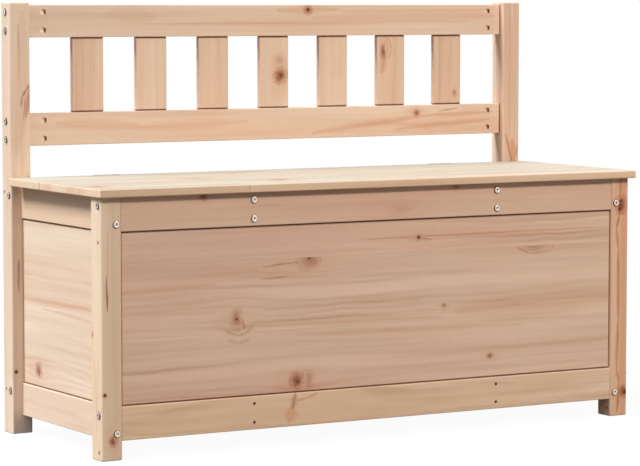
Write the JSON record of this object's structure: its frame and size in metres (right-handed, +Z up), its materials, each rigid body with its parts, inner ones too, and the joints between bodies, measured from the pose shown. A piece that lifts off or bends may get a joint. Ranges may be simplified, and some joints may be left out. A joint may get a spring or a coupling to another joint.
{
  "type": "storage bench",
  "caption": "Slat-backed pine storage bench: a panelled box on square legs with a hinged seat lid and an open slatted backrest.",
  "frame": {"origin": "on the floor, under the middle of the bench's bounding box", "axes": "+X along the seat, +Y from the front to the back, +Z up"},
  "size_m": [1.083, 0.4084, 0.755],
  "materials": {
    "pine_legs": "bare planed pine, long grain upright",
    "pine_rails": "bare planed pine with small knots",
    "pine_panels": "bare edge-glued pine boards with knots",
    "pine_slats": "bare planed pine",
    "pine_lid": "bare edge-glued pine, sanded smooth",
    "pine_inside": "bare pine",
    "beech_dowels": "bare turned beech",
    "zinc_bolts": "bright zinc plate",
    "dark_screws": "dull yellowed zinc",
    "hinge_steel": "zinc-plated pressed steel"
  },
  "bodies": {
    "frame": {"back_slat_1": "pine_slats", "back_slat_2": "pine_slats", "back_slat_3": "pine_slats", "back_slat_4": "pine_slats", "back_slat_5": "pine_slats", "back_slat_6": "pine_slats", "back_slat_7": "pine_slats", "backrest_bottom_rail": "pine_rails", "backrest_top_rail": "pine_rails", "barrel_nuts": "zinc_bolts", "floor_bearer_screws": "dark_screws", "floor_board_1": "pine_inside", "floor_board_2": "pine_inside", "floor_board_3": "pine_inside", "floor_board_4": "pine_inside", "floor_board_screws": "dark_screws", "floor_cleat_screws": "dark_screws", "frame_bolts": "zinc_bolts", "front_bottom_rail": "pine_rails", "front_left_leg": "pine_legs", "front_panel": "pine_panels", "front_right_leg": "pine_legs", "front_top_rail": "pine_rails", "hinge_rail_screws": "dark_screws", "left_bottom_rail": "pine_rails", "left_floor_bearer": "pine_inside", "left_floor_cleat": "pine_inside", "left_hinge_pin": "hinge_steel", "left_hinge_rail_leaf": "hinge_steel", "left_panel": "pine_panels", "left_seat_bearer": "pine_inside", "left_top_rail": "pine_rails", "rail_dowels": "beech_dowels", "rear_bottom_rail": "pine_rails", "rear_left_post": "pine_legs", "rear_panel": "pine_panels", "rear_right_post": "pine_legs", "rear_top_rail": "pine_rails", "right_bottom_rail": "pine_rails", "right_floor_bearer": "pine_inside", "right_floor_cleat": "pine_inside", "right_hinge_pin": "hinge_steel", "right_hinge_rail_leaf": "hinge_steel", "right_panel": "pine_panels", "right_seat_bearer": "pine_inside", "right_top_rail": "pine_rails", "seat_bearer_bolts": "zinc_bolts"},
    "lid": {"seat_lid": "pine_lid", "left_hinge_lid_leaf": "hinge_steel", "right_hinge_lid_leaf": "hinge_steel", "hinge_lid_screws": "dark_screws"}
  },
  "joints": [
    {"name": "lid_hinge", "type": "hinge", "parent": "frame", "child": "lid", "pos_m": [0, 0.16125, 0.4483], "axis": [-1, 0, 0], "range_deg": [0, 90]}
  ]
}
